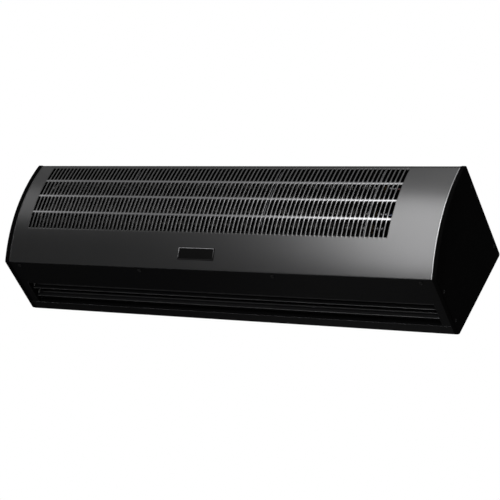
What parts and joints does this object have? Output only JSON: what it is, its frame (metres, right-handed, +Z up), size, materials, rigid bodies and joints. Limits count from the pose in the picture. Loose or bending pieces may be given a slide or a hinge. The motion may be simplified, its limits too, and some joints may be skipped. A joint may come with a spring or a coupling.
{
  "type": "air curtain",
  "caption": "Wall-hung heated air curtain: curved slotted front, roller fan, two guide vanes in the outlet.",
  "frame": {"origin": "centre of the flat back face", "axes": "+X along the casing to its right-hand end as seen from the front, +Y into the wall, +Z up"},
  "size_m": [1.04, 0.225, 0.22],
  "materials": {
    "panel_grey": "satin dark grey metallic paint",
    "case_black": "satin black powder coat",
    "cap_black": "fine-grained moulded plastic",
    "badge": "gloss with a thin rim",
    "zinc": "zinc-plated sheet",
    "duct": "matt black",
    "vane": "satin dark grey",
    "roller": "dark anodised",
    "steel": "bright turned steel",
    "laminations": "edge of laminations",
    "motor_alloy": "cast",
    "copper": "enamelled copper wire",
    "bronze": "sintered",
    "rubber": "matt",
    "heater_steel": "heat-tinted steel",
    "nylon": "natural nylon",
    "moulding_pale": "satin",
    "moulding_dark": "satin",
    "can": "drawn",
    "screw_black": "blackened",
    "button_red": "gloss",
    "wire_red": "wire insulation",
    "wire_blue": "wire insulation",
    "wire_black": "wire insulation",
    "wire_green": "wire insulation",
    "wire_brown": "wire insulation"
  },
  "bodies": {
    "casing": {"rear_housing": "case_black", "front_panel": "panel_grey", "outlet_plate": "case_black", "left_end_plate": "zinc", "right_end_plate": "zinc", "left_end_cap": "cap_black", "right_end_cap": "cap_black", "badge_plate": "badge", "bearing_bulkhead": "zinc", "motor_bulkhead": "zinc", "bay_floor": "zinc", "scroll": "duct", "tongue": "duct", "vane_bushes": "nylon", "bearing_grommet": "rubber", "bearing_outer_race": "steel", "bearing_balls": "steel", "motor_shield_front": "motor_alloy", "motor_shield_rear": "motor_alloy", "stator_core": "laminations", "stator_windings": "copper", "motor_bushes": "bronze", "motor_isolators": "rubber", "motor_cradle": "zinc", "motor_bolts": "steel", "cradle_screws": "steel", "heater_upper": "heater_steel", "heater_lower": "heater_steel", "heater_brackets": "zinc", "heater_fittings": "bronze", "heater_terminals": "steel", "run_capacitor": "can", "capacitor_clip": "zinc", "terminal_block": "moulding_pale", "terminal_screws": "steel", "contactor": "moulding_pale", "thermal_cutout": "moulding_dark", "cable_grommet": "rubber", "cord_clamp": "moulding_dark", "earth_stud": "bronze", "hanger_nuts": "steel", "cap_screws": "screw_black", "panel_screws": "screw_black", "wire_heater_upper": "wire_red", "wire_heater_lower": "wire_blue", "wire_motor": "wire_black", "wire_earth": "wire_green", "wire_supply": "wire_brown"},
    "roller": {"impeller": "roller", "drive_hub": "motor_alloy", "idle_stub": "steel", "motor_rotor": "laminations", "motor_shaft": "steel", "bearing_inner_race": "steel"},
    "front_vane": {"vane_front": "vane", "vane_front_pins": "steel"},
    "rear_vane": {"vane_rear": "vane", "vane_rear_pins": "steel"},
    "reset": {"reset_button": "button_red"}
  },
  "joints": [
    {"name": "roller_spin", "type": "hinge", "parent": "casing", "child": "roller", "pos_m": [0, -0.1, 0.015], "axis": [-1, 0, 0], "continuous": true},
    {"name": "front_vane_tilt", "type": "hinge", "parent": "casing", "child": "front_vane", "pos_m": [0, -0.058, -0.0905], "axis": [1, 0, 0], "range_deg": [-20, 20]},
    {"name": "rear_vane_tilt", "type": "hinge", "parent": "casing", "child": "rear_vane", "pos_m": [0, -0.0355, -0.0905], "axis": [1, 0, 0], "range_deg": [-20, 20]},
    {"name": "reset_press", "type": "slide", "parent": "casing", "child": "reset", "axis": [0, 0, -1], "range_m": [0, 0.002], "stiffness_N_per_m": 800, "springref_m": -0.001}
  ]
}
